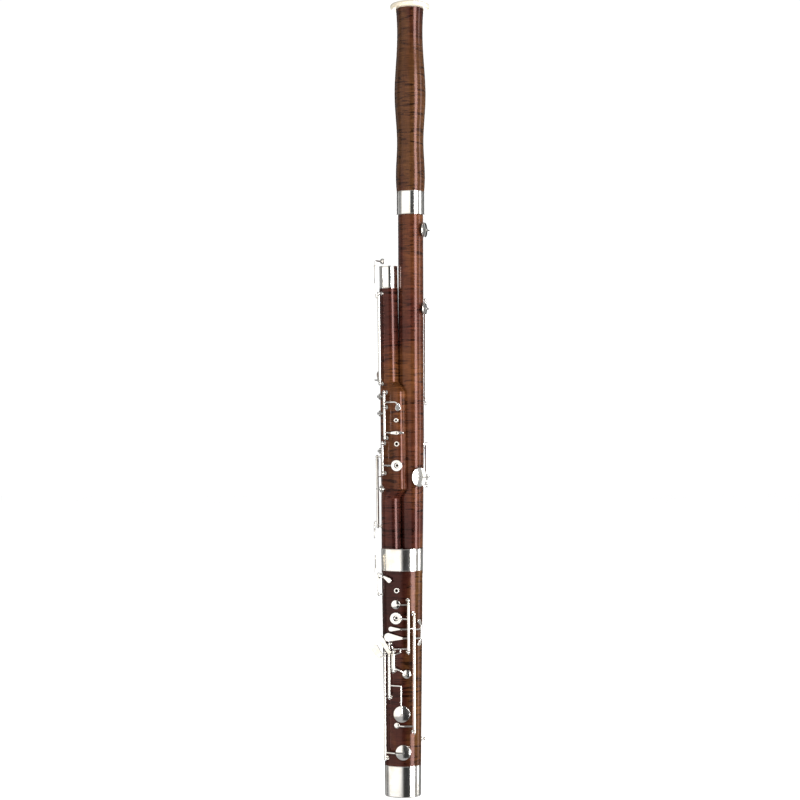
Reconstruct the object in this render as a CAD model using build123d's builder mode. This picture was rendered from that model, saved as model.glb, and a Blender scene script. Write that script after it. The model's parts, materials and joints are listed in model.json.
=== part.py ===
"""A wooden bassoon with nickel-silver keywork, in millimetres, at its real size.

Frame: +Z runs up along the bores, the origin is the centre of the boot cap's flat bottom face,
-Y is the finger-hole side and +X is the side of the bass joint.

The instrument comes apart into a boot, a wing joint, a bass joint and a bell. Every key is drawn with its
pad on its seat, and a key that stands open is then turned about its own hinge by its opening angle.
"""

from build123d import *
import os
from math import asin, cos, degrees, radians, sin, sqrt

# ---------------------------------------------------------------- driving dimensions
TOTAL_HEIGHT = 1340.0
BORE_SPACING = 33.0

# boot
BOOT_TOP = 419.0
BOOT_BOTTOM_HALF_WIDTH = 30.2
BOOT_TOP_HALF_WIDTH = 35.4
BOOT_DEPTH_RATIO = 0.66
BOOT_WOOD_BOTTOM = 36.0
BOOT_FERRULE_HEIGHT = 37.0
BOOT_CAP_HEIGHT = 53.0
BAND_WALL = 1.2
CAP_EDGE_FILLET = 2.0
SMALL_BORE_TOP_RADIUS = 7.2
SMALL_BORE_BOTTOM_RADIUS = 9.8
LARGE_BORE_TOP_RADIUS = 12.4
U_TUBE_BORE_RADIUS = 10.0
U_TUBE_WALL = 0.9
U_TUBE_PLATE = 2.5
GASKET_THICKNESS = 1.5
U_TUBE_SCREW_OFFSET = 14.0
U_TUBE_SCREW_RADIUS = 1.5
U_TUBE_SCREW_LENGTH = 9.0
U_TUBE_SCREW_HEAD = 2.0
SLOT_WIDTH = 0.8
CAP_FLOOR = 1.6
CAP_ROOM = 0.6

# tenons and their sockets
WING_TENON_LENGTH = 34.0
WING_TENON_RADIUS = 12.6
BASS_TENON_LENGTH = 36.0
BASS_TENON_RADIUS = 15.0
BELL_TENON_LENGTH = 34.0
BELL_TENON_RADIUS = 18.9
WRAP_THICKNESS = 0.7
WRAP_MARGIN = 4.0
SOCKET_CLEARANCE = 0.15
SHOULDER_GAP = 0.2

# wing joint
WING_LENGTH = 477.5
WING_SPLAY = 0.58
WING_BOTTOM_RADIUS = 18.3
WING_TOP_RADIUS = 15.6
WING_FERRULE_HEIGHT = 37.5
WING_FERRULE_RADIUS = 15.3
WING_BORE_TOP_RADIUS = 4.9
WING_BORE_BOTTOM_RADIUS = 6.8
BOCAL_SOCKET_RADIUS = 5.3
BOCAL_SOCKET_DEPTH = 24.0
BOCAL_SOCKET_WALL = 1.3
BOCAL_VENT_RISE = 2.4
NEST_CLEARANCE = 0.5
LOBE_RADIUS = 12.8
LOBE_X = 13.0
LOBE_Y = -20.5
LOBE_BOTTOM = 102.0
LOBE_TOP = 265.0
LOBE_SLOPE = 17.0
LOBE_NARROW = 0.85

# bass joint
BASS_LENGTH = 564.0
BASS_RADIUS = 21.3
BASS_FOOT_RADIUS = 18.7
BASS_FLARE = 190.0
BASS_BORE_BOTTOM_RADIUS = 12.6
BASS_BORE_TOP_RADIUS = 16.0

# bell
BELL_FERRULE_HEIGHT = 39.5
BELL_FERRULE_RADIUS = 23.3
BELL_BORE_BOTTOM_RADIUS = 16.3
BELL_BORE_TOP_RADIUS = 19.5
BELL_RING_RADIUS = 33.0
BELL_RING_THICKNESS = 8.4
BELL_RING_ROUND = 3.6
BELL_SPIGOT_DEPTH = 4.0
BELL_SPIGOT_STEP = 1.4
BELL_LOW_BULGE_RISE = 69.0
BELL_LOW_BULGE_RADIUS = 24.7
BELL_LOW_WAIST_RISE = 122.0
BELL_LOW_WAIST_RADIUS = 22.5
BELL_HIGH_BULGE_DROP = 150.6
BELL_HIGH_BULGE_RADIUS = 26.4
BELL_HIGH_WAIST_DROP = 59.6
BELL_HIGH_WAIST_RADIUS = 22.0
BELL_NECK_RADIUS = 23.4

# keywork
HINGE_HEIGHT = 6.3
TUBE_RADIUS = 2.2
TUBE_BORE_RADIUS = 1.1
PIVOT_RADIUS = 1.03
POST_BORE_RADIUS = 1.06
POST_BALL_RADIUS = 2.7
POST_STEM_RADIUS = 1.5
POST_FLANGE_RADIUS = 3.3
POST_FLANGE_THICKNESS = 1.3
POST_FLANGE_SINK = 0.5
POST_SHANK_DEPTH = 4.5
PIVOT_END = 0.7
END_PLAY = 0.15
ARM_RADIUS = 1.35
ARM_RISE = 0.8
ARM_BEND = 1.7
TOUCH_THICKNESS = 1.8
TOUCH_ROUND = 0.6
RING_THICKNESS = 1.9
RING_LIFT = 1.3
RING_INNER_RADIUS = 4.4
SEAT_DEPTH = 0.5
SEAT_MARGIN = 0.7
PAD_GAP = 0.08
PAD_THICKNESS = 2.5
PAD_SHOW = 0.9
CUP_WALL = 0.8
CUP_CROWN = 0.7
CUP_DOME = 0.13
CUP_BOSS_RADIUS = 2.3
HOLE_WALL = 1.3
LINER_WALL = 1.7
LINER_RISE = 0.8
LINER_DEPTH = 3.5
OPEN_GAP = 3.0
WING_TRILL_GAP = 2.5
WING_RING_GAP = 1.0
WING_RING_LIFT = 3.0
KEY_CLEARANCE = 0.35

# strap eye
EYE_HEIGHT = 356.0
EYE_HOLE_RADIUS = 3.5
EYE_WALL = 2.2
EYE_THICKNESS = 3.0
EYE_STANDOFF = 3.0
EYE_PLATE_RADIUS = 9.0
EYE_PLATE_THICKNESS = 1.6

# ---------------------------------------------------------------- places worked out from them
BORE_X = BORE_SPACING / 2
BELL_FOOT = BOOT_TOP + BASS_LENGTH
BELL_RING_FOOT = TOTAL_HEIGHT - BELL_RING_THICKNESS
BELL_SPIGOT_TOP = BELL_RING_FOOT + BELL_SPIGOT_DEPTH
BOOT_FERRULE_FOOT = BOOT_TOP - BOOT_FERRULE_HEIGHT
WING_FERRULE_FOOT = WING_LENGTH - WING_FERRULE_HEIGHT
WING_NECK_RADIUS = WING_FERRULE_RADIUS - BAND_WALL
BELL_FERRULE_BORE = BELL_FERRULE_RADIUS - BAND_WALL

BASS = Plane(origin=(BORE_X, 0, 0), z_dir=(0, 0, 1))
WING_LEAN = radians(WING_SPLAY)
WING = Plane(
    origin=(-BORE_X, 0, BOOT_TOP),
    x_dir=(cos(WING_LEAN), 0, sin(WING_LEAN)),
    z_dir=(-sin(WING_LEAN), 0, cos(WING_LEAN)),
)


def boot_half_width(height):
    """Half the boot's width at a height above the cap's face."""
    rise = BOOT_TOP_HALF_WIDTH - BOOT_BOTTOM_HALF_WIDTH
    return BOOT_BOTTOM_HALF_WIDTH + rise * height / BOOT_TOP


def boot_depth(x, height):
    """How far the boot's oval reaches in front of its middle plane, at x."""
    half_width = boot_half_width(height)
    return BOOT_DEPTH_RATIO * sqrt(half_width**2 - x**2)


def wing_radius(height):
    """Radius of the wing joint's round part, at a height above its shoulder."""
    return WING_BOTTOM_RADIUS + (WING_TOP_RADIUS - WING_BOTTOM_RADIUS) * height / WING_LENGTH


def bass_radius(height):
    """Outer radius of the bass joint, at a height above the cap's face."""
    rise = min(1.0, (height - BOOT_TOP) / BASS_FLARE)
    return BASS_FOOT_RADIUS + (BASS_RADIUS - BASS_FOOT_RADIUS) * rise


os.makedirs("parts", exist_ok=True)
KEYS = {}
POSTS = {"boot": [], "wing": [], "bass": []}
PIVOTS = {"boot": [], "wing": [], "bass": []}
SEATS = {"boot": [], "wing": [], "bass": [], "bocal": []}


# ---------------------------------------------------------------- the sections' outer surfaces
def boot_front(x, height, lift=0.0):
    """A point on, or above, the finger-hole side of the boot."""
    y = boot_depth(x, height)
    normal = Vector(x * BOOT_DEPTH_RATIO**2, -y, 0).normalized()
    return Vector(x, -y, height) + normal * lift


def boot_rear(x, height, lift=0.0):
    """A point on, or above, the thumb side of the boot."""
    point = boot_front(x, height, lift)
    return Vector(point.X, -point.Y, point.Z)


def around(frame, radius, angle, height):
    """A point at an angle from a round section's front, turning towards +X."""
    turn = radians(angle)
    return frame.from_local_coords(Vector(radius * sin(turn), -radius * cos(turn), height))


def wing_skin(angle, height, lift=0.0):
    """A point on, or above, the round part of the wing joint."""
    local = height - BOOT_TOP
    return around(WING, wing_radius(local) + lift, angle, local)


def lobe_skin(angle, height, lift=0.0):
    """A point on, or above, the wing joint's lobe."""
    turn = radians(angle)
    reach = LOBE_RADIUS + lift
    local = Vector(LOBE_X + reach * sin(turn), LOBE_Y - reach * cos(turn), height - BOOT_TOP)
    return WING.from_local_coords(local)


def bass_skin(angle, height, lift=0.0):
    """A point on, or above, the bass joint."""
    return around(BASS, bass_radius(height) + lift, angle, height)


def lobe_normal():
    """Outward direction of the flat between the wing joint's round part and its lobe, in the wing's frame."""
    reach = sqrt(LOBE_X**2 + LOBE_Y**2)
    lean = asin((wing_radius((LOBE_BOTTOM + LOBE_TOP) / 2) - LOBE_RADIUS) / reach)
    along = Vector(LOBE_X, LOBE_Y, 0).normalized()
    across = Vector(along.Y, -along.X, 0)
    return across * cos(lean) + along * sin(lean)


# ---------------------------------------------------------------- hinges, seats and the pieces of a key
class Hinge:
    """A key's hinge line and the posts that carry it: point(z) is on the line, foot(z) is on the wood."""

    def __init__(self, section, point, foot, *posts):
        self.point = point
        self.axis = Axis(point(0), point(100) - point(0))
        self.low = min(posts)
        self.high = max(posts)
        POSTS[section].extend((foot(z), point(z), self.axis) for z in posts)
        PIVOTS[section].append(self)


def boot_hinge(skin, x, *posts, lift=HINGE_HEIGHT):
    """A hinge that stands upright over the boot."""
    highest = skin(x, max(posts), lift)
    return Hinge("boot", lambda z: Vector(highest.X, highest.Y, z), lambda z: skin(x, z), *posts)


def round_hinge(section, skin, angle, *posts, lift=HINGE_HEIGHT):
    """A hinge over a round section, parallel to its axis."""
    frame, radius = (WING, wing_radius) if section == "wing" else (BASS, bass_radius)
    base = BOOT_TOP if section == "wing" else 0.0
    reach = max(radius(z - base) for z in posts) + lift
    return Hinge(
        section,
        lambda z: around(frame, reach, angle, z - base),
        lambda z: skin(angle, z),
        *posts,
    )


def lobe_hinge(x, *posts, lift=HINGE_HEIGHT):
    """A hinge over the flat beside the lobe, standing at x in the wing's frame."""
    normal = lobe_normal()
    reach = wing_radius((LOBE_BOTTOM + LOBE_TOP) / 2) + lift
    y = (reach - normal.X * x) / normal.Y
    return Hinge(
        "wing",
        lambda z: WING.from_local_coords(Vector(x, y, z - BOOT_TOP)),
        lambda z: WING.from_local_coords(Vector(x, y, z - BOOT_TOP) - normal * lift),
        *posts,
    )


class Seat:
    """A flat in the wood round a tone hole, facing out, that a pad closes on."""

    def __init__(self, section, skin, place, height, cup_radius, bore_x):
        middle = skin(place, height, -SEAT_DEPTH)
        self.normal = (skin(place, height, 1.0) - skin(place, height)).normalized()
        self.middle = middle
        self.cup_radius = cup_radius
        self.pad_radius = cup_radius - CUP_WALL
        self.hole_radius = self.pad_radius / 2 - HOLE_WALL / 2
        self.bore_x = bore_x
        self.plane = Plane(origin=middle, x_dir=(0, 0, 1), z_dir=self.normal)
        SEATS[section].append(self)

    def above(self, lift):
        """A point over the seat's middle."""
        return self.middle + self.normal * lift

    def crown(self):
        """The top of the cup's dome."""
        return self.above(PAD_GAP + PAD_THICKNESS + CUP_CROWN + CUP_DOME * self.cup_radius)


def rod(start, end, radius):
    """A plain round rod."""
    with BuildPart() as piece:
        with BuildSketch(Plane(origin=start, z_dir=end - start)):
            Circle(radius)
        extrude(amount=(end - start).length)
    return piece.part


def arm(*points, radius=ARM_RADIUS):
    """A round arm along straight runs, with a bend at each corner."""
    if len(points) == 2:
        return rod(*points, radius)
    with BuildPart() as piece:
        with BuildLine() as path:
            FilletPolyline(*points, radius=radius * ARM_BEND)
        with BuildSketch(Plane(origin=points[0], z_dir=points[1] - points[0])):
            Circle(radius)
        sweep(path=path.line)
    return piece.part


def touch(wide, wide_radius, narrow, narrow_radius, normal, thickness=TOUCH_THICKNESS):
    """A rounded finger plate, broad at one end, whose top faces nearly along normal."""
    along = (narrow - wide).normalized()
    with BuildPart() as piece:
        with BuildSketch(Plane(origin=wide, x_dir=along, z_dir=normal - along * normal.dot(along))):
            Circle(wide_radius)
            with Locations(((narrow - wide).length, 0)):
                Circle(narrow_radius)
            make_hull()
        extrude(amount=thickness / 2, both=True)
        fillet(piece.edges(), TOUCH_ROUND)
    return piece.part


def ring(seat_middle, normal, outer_radius, inner_radius):
    """A finger ring that lies round an open hole."""
    with BuildPart() as piece:
        with BuildSketch(Plane(origin=seat_middle, z_dir=normal)):
            Circle(outer_radius)
            Circle(inner_radius, mode=Mode.SUBTRACT)
        extrude(amount=RING_THICKNESS)
        fillet(piece.edges(), TOUCH_ROUND)
    return piece.part


def cup(seat):
    """A domed metal cup over a pad, with a boss for its arm."""
    radius = seat.cup_radius
    pad_top = PAD_GAP + PAD_THICKNESS
    skirt = PAD_GAP + PAD_SHOW
    crown = pad_top + CUP_CROWN + CUP_DOME * radius
    shoulder = pad_top + CUP_CROWN / 2
    section = Plane(origin=seat.middle, x_dir=(0, 0, 1), z_dir=Vector(0, 0, 1).cross(seat.normal))
    with BuildPart() as piece:
        with BuildSketch(section):
            with BuildLine():
                Polyline((0, crown), (0, pad_top), (seat.pad_radius, pad_top), (seat.pad_radius, skirt))
                Line((seat.pad_radius, skirt), (radius, skirt))
                Line((radius, skirt), (radius, shoulder))
                ThreePointArc(
                    (radius, shoulder),
                    (radius * 0.55, shoulder + (crown - shoulder) * 0.72),
                    (0, crown),
                )
            make_face()
        revolve(axis=Axis(seat.middle, seat.normal))
        with BuildSketch(Plane(origin=seat.above(pad_top), z_dir=seat.normal)):
            Circle(CUP_BOSS_RADIUS)
        extrude(amount=crown - pad_top + ARM_RADIUS + CUP_WALL / 2)
    return piece.part


def save(part, name):
    """Label a finished piece and write it."""
    part.label = name
    export_step(part, f"parts/{name}.step")


def pad(seat):
    """The soft disc that a cup holds."""
    with BuildPart() as piece:
        with BuildSketch(seat.plane.offset(PAD_GAP)):
            Circle(seat.pad_radius)
        extrude(amount=PAD_THICKNESS)
    return piece.part


def make_key(
    name,
    section,
    hinge,
    low,
    high,
    pieces,
    seat=None,
    stands="closed",
    tube_radius=TUBE_RADIUS,
    gap=OPEN_GAP,
    swing=0.0,
):
    """Build one key round its hinge and note its joint.

    A key with a pad swings until the pad's middle has moved by gap, and one without swings by swing degrees.
    """
    clear_low = hinge.point(low - tube_radius)
    clear_high = hinge.point(high + tube_radius)
    with BuildPart() as key:
        add(rod(hinge.point(low), hinge.point(high), tube_radius))
        for piece in pieces:
            add(piece)
        if seat:
            add(cup(seat))
            add(pad(seat), mode=Mode.SUBTRACT)
        add(rod(clear_low, clear_high, TUBE_BORE_RADIUS), mode=Mode.SUBTRACT)
    if seat:
        reach = seat.middle - hinge.axis.position
        turning = hinge.axis.direction.cross(reach)
        way = 1 if turning.dot(seat.normal) > 0 else -1
        across = (reach - hinge.axis.direction * reach.dot(hinge.axis.direction)).length
        swing = way * degrees(asin(gap / across))
    turned = swing if seat and stands == "open" else 0.0
    save(key.part.rotate(hinge.axis, turned), name)
    if seat:
        save(pad(seat).rotate(hinge.axis, turned), f"{name}_pad")
    KEYS[name] = {
        "section": section,
        "axis": hinge.axis,
        "height": (low + high) / 2,
        "swing": -swing if turned else swing,
        "seat": seat,
        "stands": stands,
    }


BALL_STEP = POST_BALL_RADIUS + END_PLAY


def along_top(seat, *points):
    """An arm that comes in over a cup's rim and ends on its boss."""
    crown = seat.crown()
    back = points[-1] - crown
    back = (back - seat.normal * back.dot(seat.normal)).normalized()
    return arm(*points, crown + back * seat.cup_radius * 0.9 + seat.normal * ARM_RISE, crown)


# ---------------------------------------------------------------- keys on the boot's front
UPPER_LINE = boot_hinge(boot_front, 8.9, 333.4, 246.5)

vent_seat = Seat("boot", boot_front, -10.3, 326.4, 7.1, -BORE_X)
ring_middle = boot_front(-10.1, 303.5, RING_LIFT)
ring_normal = (boot_front(-10.1, 303.5, 1) - boot_front(-10.1, 303.5)).normalized()
ring_side = (UPPER_LINE.point(303.5) - ring_middle).normalized() * RING_INNER_RADIUS * 1.5
make_key(
    "boot_ring_key",
    "boot",
    UPPER_LINE,
    290.0,
    333.4 - BALL_STEP,
    [
        along_top(vent_seat, UPPER_LINE.point(326.4)),
        ring(ring_middle, ring_normal, 10.0, RING_INNER_RADIUS),
        arm(UPPER_LINE.point(302), ring_middle + ring_side + ring_normal * RING_THICKNESS / 2),
    ],
    seat=vent_seat,
    stands="open",
)

tail_end = Vector(13.2, UPPER_LINE.point(0).Y + 3.0, 285.5)
make_key(
    "trill_touch",
    "boot",
    UPPER_LINE,
    279.0,
    290.0 - END_PLAY,
    [
        touch(boot_front(-17.2, 285.5, 6), 4.2, boot_front(-3.6, 285.5, 6.5), 1.2, Vector(0, -1, 0)),
        arm(UPPER_LINE.point(285.5), boot_front(-3.6, 285.5, 6.5)),
        arm(UPPER_LINE.point(285.5), tail_end, radius=0.9),
    ],
    swing=-8.0,
)

bar_y = UPPER_LINE.point(0).Y
make_key(
    "ring_finger_touch",
    "boot",
    UPPER_LINE,
    246.5 + BALL_STEP,
    279.0 - END_PLAY,
    [
        touch(boot_front(-20.7, 271.4, 6.5), 7.3, boot_front(-0.6, 270.4, 6.5), 2.1, Vector(0, -1, 0)),
        arm(UPPER_LINE.point(270.2), boot_front(-0.6, 270.4, 6.5)),
        arm(UPPER_LINE.point(252.5), Vector(-17.0, bar_y, 252.5), Vector(-18.0, bar_y, 257.5)),
    ],
    swing=-6.4,
)

LEVER_LINE = boot_hinge(boot_front, -13.9, 247.6, 215.3, lift=7.2)
lever_seat = Seat("boot", boot_front, 6.3, 209.4, 6.8, BORE_X)
lug_y = bar_y + 4.3
make_key(
    "ring_finger_lever",
    "boot",
    LEVER_LINE,
    215.3 + BALL_STEP,
    247.6 - BALL_STEP,
    [
        along_top(lever_seat, LEVER_LINE.point(221), boot_front(-4, 216.5, 6.5)),
        arm(LEVER_LINE.point(241.5), Vector(-4, lug_y, 246), Vector(-4, lug_y, 252.5), radius=1.1),
    ],
    seat=lever_seat,
    stands="open",
    tube_radius=3.4,
)

# the two little-finger keys, whose plates stand off the boot's left edge
INNER_LINE = boot_hinge(boot_front, -20.0, 259.8, 170.4)
f_seat = Seat("boot", boot_front, -1.5, 141.7, 13.5, BORE_X)
make_key(
    "inner_little_finger_key",
    "boot",
    INNER_LINE,
    170.4 + BALL_STEP,
    259.8 - BALL_STEP,
    [
        along_top(f_seat, INNER_LINE.point(190.5), boot_front(-2.3, 190.5, 8.5), boot_front(-2.3, 158, 9)),
        touch(Vector(-37.8, -21, 270), 5.2, Vector(-22.5, -28.6, 247.5), 3.6, Vector(-0.45, -0.89, 0)),
        arm(INNER_LINE.point(247.5), Vector(-22.5, -28.6, 247.5)),
    ],
    seat=f_seat,
)

OUTER_LINE = boot_hinge(boot_front, -25.8, 245.5, 66.5)
a_flat_seat = Seat("boot", boot_front, 0.5, 76.9, 12.4, -BORE_X)
make_key(
    "outer_little_finger_key",
    "boot",
    OUTER_LINE,
    66.5 + BALL_STEP,
    245.5 - BALL_STEP,
    [
        along_top(a_flat_seat, OUTER_LINE.point(77), boot_front(-12, 77, 7.5)),
        touch(Vector(-46.4, -13, 251.5), 7.0, Vector(-39.0, -15.5, 241.0), 6.0, Vector(-0.45, -0.89, 0)),
        arm(OUTER_LINE.point(237.6), Vector(-37.5, -16.2, 238.5)),
    ],
    seat=a_flat_seat,
    tube_radius=1.9,
)

# the long trill key down the boot's right side
TRILL_LINE = boot_hinge(boot_front, 17.4, 310.8, 112.6)
trill_seat = Seat("boot", boot_front, -9.8, 122.4, 4.4, -BORE_X)
trill_bar = [Vector(31.5, -17, z) for z in (267.5, 290.5)]
make_key(
    "side_trill_key",
    "boot",
    TRILL_LINE,
    112.6 + BALL_STEP,
    310.8 - BALL_STEP,
    [
        along_top(trill_seat, TRILL_LINE.point(122.4), boot_front(2, 122.4, 7.0)),
        arm(*trill_bar),
        arm(TRILL_LINE.point(284.5), Vector(31.5, -17, 284.5)),
        arm(TRILL_LINE.point(269.4), Vector(31.5, -17, 269.4)),
        touch(Vector(27.8, -20, 298.0), 3.0, trill_bar[1], 1.5, Vector(0.5, -0.87, 0)),
        touch(Vector(27.8, -20, 259.5), 3.0, trill_bar[0], 1.5, Vector(0.5, -0.87, 0)),
        arm(TRILL_LINE.point(286.5), Vector(13.4, bar_y - 0.2, 286.5), radius=0.9),
    ],
    seat=trill_seat,
)


def boot_left(y, height, lift=0.0):
    """A point on, or beside, the boot's left edge, at a depth y."""
    half_width = boot_half_width(height)
    return Vector(-sqrt(half_width**2 - (y / BOOT_DEPTH_RATIO) ** 2) - lift, y, height)


BRIDGE_LINE = boot_hinge(boot_left, -6.0, 375.5, 341.5)
bridge_x = BRIDGE_LINE.point(0).X
make_key(
    "bridge_key",
    "boot",
    BRIDGE_LINE,
    341.5 + BALL_STEP,
    375.5 - BALL_STEP,
    [
        arm(BRIDGE_LINE.point(370), Vector(-36, -18, 371), boot_front(-27, 372.5, 6)),
        touch(boot_front(-19.5, 367, 6), 4.2, boot_front(-27, 372.5, 6), 1.8, Vector(-0.4, -0.9, 0)),
        arm(BRIDGE_LINE.point(370), Vector(bridge_x - 5, -8, 370), Vector(bridge_x - 5, -10, 387)),
        touch(Vector(bridge_x - 5, -10, 403), 5.4, Vector(bridge_x - 5, -10, 388), 2.0, Vector(-1, 0, 0)),
    ],
    swing=6.0,
)

# ---------------------------------------------------------------- thumb keys on the boot's rear
PANCAKE_LINE = boot_hinge(boot_rear, 14.0, 232.0, 150.0)
pancake_seat = Seat("boot", boot_rear, -3.0, 168.0, 12.5, BORE_X)
pancake_touch = boot_rear(-3, 214, 7)
make_key(
    "thumb_pancake_key",
    "boot",
    PANCAKE_LINE,
    150.0 + BALL_STEP,
    232.0 - BALL_STEP,
    [
        along_top(pancake_seat, PANCAKE_LINE.point(168)),
        touch(pancake_touch, 9.5, pancake_touch + Vector(1, 0, 0), 9.0, Vector(0, 1, 0)),
        arm(PANCAKE_LINE.point(214), pancake_touch),
    ],
    seat=pancake_seat,
    stands="open",
)

B_FLAT_LINE = boot_hinge(boot_rear, -15.0, 332.0, 262.0)
b_flat_seat = Seat("boot", boot_rear, -27.5, 320.0, 6.0, -BORE_X)
make_key(
    "thumb_b_flat_key",
    "boot",
    B_FLAT_LINE,
    262.0 + BALL_STEP,
    332.0 - BALL_STEP,
    [
        along_top(b_flat_seat, B_FLAT_LINE.point(320)),
        touch(boot_rear(2, 282, 7), 7.5, boot_rear(-7, 276, 7), 3.5, Vector(0, 1, 0)),
        arm(B_FLAT_LINE.point(275), boot_rear(-7, 276, 7)),
    ],
    seat=b_flat_seat,
)

# ---------------------------------------------------------------- keys on the wing joint
SIDE_LINE = lobe_hinge(-10.3, 683.0, 657.8, 606.5)
high_seat = Seat("wing", wing_skin, -80, 676.0, 5.2, 0)
make_key(
    "upper_wing_trill_key",
    "wing",
    SIDE_LINE,
    657.8 + BALL_STEP,
    683.0 - BALL_STEP,
    [
        along_top(high_seat, SIDE_LINE.point(676)),
        arm(
            SIDE_LINE.point(666),
            lobe_skin(-44, 666.5, 5),
            lobe_skin(-14, 666.5, 5),
            lobe_skin(-2, 662, 4.5),
        ),
        touch(lobe_skin(-1, 656, 4.5), 4.5, lobe_skin(-1, 663, 4.5), 2.2, Vector(0, -1, 0)),
    ],
    seat=high_seat,
    gap=WING_TRILL_GAP,
)

low_seat = Seat("wing", wing_skin, -80, 647.5, 5.2, 0)
make_key(
    "lower_wing_trill_key",
    "wing",
    SIDE_LINE,
    606.5 + BALL_STEP,
    657.8 - BALL_STEP,
    [
        along_top(low_seat, SIDE_LINE.point(647.5)),
        arm(SIDE_LINE.point(615.5), lobe_skin(-40, 615, 5)),
        touch(lobe_skin(-8, 615, 5.2), 3.2, lobe_skin(-40, 615, 5.0), 2.0, Vector(-0.4, -0.9, 0)),
        touch(lobe_skin(-6, 615, 5.1), 2.8, lobe_skin(24, 615, 4.4), 1.6, Vector(0.14, -0.99, 0)),
    ],
    seat=low_seat,
    gap=WING_TRILL_GAP,
)

RING_LINE = lobe_hinge(-14.3, 597.5, 547.0)
wing_ring_middle = lobe_skin(-13, 560.3, WING_RING_LIFT)
wing_ring_normal = (lobe_skin(-13, 560.3, 1) - lobe_skin(-13, 560.3)).normalized()
wing_ring_way = RING_LINE.point(560.3) - wing_ring_middle
wing_ring_way = (wing_ring_way - wing_ring_normal * wing_ring_way.dot(wing_ring_normal)).normalized()
wing_ring_core = wing_ring_middle + wing_ring_normal * RING_THICKNESS / 2
wing_ring_root = wing_ring_core + wing_ring_way * RING_INNER_RADIUS * 1.5
e_flat_seat = Seat("wing", wing_skin, -90, 584.0, 5.2, 0)
make_key(
    "wing_ring_key",
    "wing",
    RING_LINE,
    547.0 + BALL_STEP,
    597.5 - BALL_STEP,
    [
        along_top(e_flat_seat, RING_LINE.point(584)),
        ring(wing_ring_middle, wing_ring_normal, 9.4, RING_INNER_RADIUS),
        arm(RING_LINE.point(560.3), wing_ring_root),
    ],
    seat=e_flat_seat,
    tube_radius=1.8,
    gap=WING_RING_GAP,
)

C_SHARP_LINE = round_hinge("wing", wing_skin, -102, 574.0, 456.0)
c_sharp_seat = Seat("wing", wing_skin, -62, 520.0, 6.0, 0)
make_key(
    "wing_thumb_key",
    "wing",
    C_SHARP_LINE,
    456.0 + BALL_STEP,
    574.0 - BALL_STEP,
    [
        along_top(c_sharp_seat, C_SHARP_LINE.point(520), wing_skin(-80, 520, 7)),
        arm(C_SHARP_LINE.point(464), wing_skin(-102, 464, 12), wing_skin(-98, 448, 12)),
        touch(wing_skin(-98, 440, 12), 4.5, wing_skin(-98, 450, 12), 2.0, Vector(-1, 0, 0)),
        arm(C_SHARP_LINE.point(540), wing_skin(-128, 540, 6.5), wing_skin(-150, 540, 6.5)),
        touch(wing_skin(-152, 548, 6.5), 5.5, wing_skin(-150, 538, 6.5), 2.5, Vector(-0.45, 0.89, 0)),
    ],
    seat=c_sharp_seat,
)


def bocal_skin(angle, height, lift=0.0):
    """A point beside the bocal's vent, which stands over the wing joint's top."""
    return around(WING, BOCAL_SOCKET_RADIUS + BOCAL_VENT_RISE + lift, angle, height - BOOT_TOP)


WHISPER_LINE = round_hinge("wing", wing_skin, -48, 850.0, 698.0)
whisper_seat = Seat("bocal", bocal_skin, -64, 905.0, 4.6, 0)
make_key(
    "whisper_key",
    "wing",
    WHISPER_LINE,
    698.0 + BALL_STEP,
    850.0 - BALL_STEP,
    [
        arm(WHISPER_LINE.point(843), wing_skin(-58, 843, 9), wing_skin(-58, 905, 9.5), whisper_seat.crown()),
        arm(
            WHISPER_LINE.point(704),
            wing_skin(-80, 704, 7),
            wing_skin(-115, 704, 7),
            wing_skin(-148, 704, 7),
        ),
        touch(wing_skin(-152, 714, 7), 6.0, wing_skin(-148, 703, 7), 2.5, Vector(-0.45, 0.89, 0)),
    ],
    seat=whisper_seat,
    stands="open",
    tube_radius=2.3,
)

# ---------------------------------------------------------------- keys on the bass joint
LOW_B_LINE = round_hinge("bass", bass_skin, 140, 969.0, 640.0)
low_b_seat = Seat("bass", bass_skin, 64, 957.0, 12.3, 0)
make_key(
    "low_b_flat_key",
    "bass",
    LOW_B_LINE,
    640.0 + BALL_STEP,
    969.0 - BALL_STEP,
    [
        along_top(low_b_seat, LOW_B_LINE.point(957), bass_skin(112, 957, 7), bass_skin(90, 957, 7.5)),
        arm(LOW_B_LINE.point(652), bass_skin(158, 652, 7)),
        touch(bass_skin(176, 660, 8), 7.0, bass_skin(158, 650, 7), 4.0, Vector(0.2, 0.98, 0)),
    ],
    seat=low_b_seat,
    stands="open",
)

LOW_C_LINE = round_hinge("bass", bass_skin, 118, 840.0, 664.0)
low_c_seat = Seat("bass", bass_skin, 64, 824.0, 9.7, 0)
make_key(
    "low_c_key",
    "bass",
    LOW_C_LINE,
    664.0 + BALL_STEP,
    840.0 - BALL_STEP,
    [
        along_top(low_c_seat, LOW_C_LINE.point(824), bass_skin(92, 824, 7)),
        arm(LOW_C_LINE.point(672), bass_skin(130, 672, 12), bass_skin(150, 676, 12)),
        touch(bass_skin(168, 684, 12), 6.5, bass_skin(150, 676, 12), 3.5, Vector(0.3, 0.95, 0)),
    ],
    seat=low_c_seat,
    stands="open",
)

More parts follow.
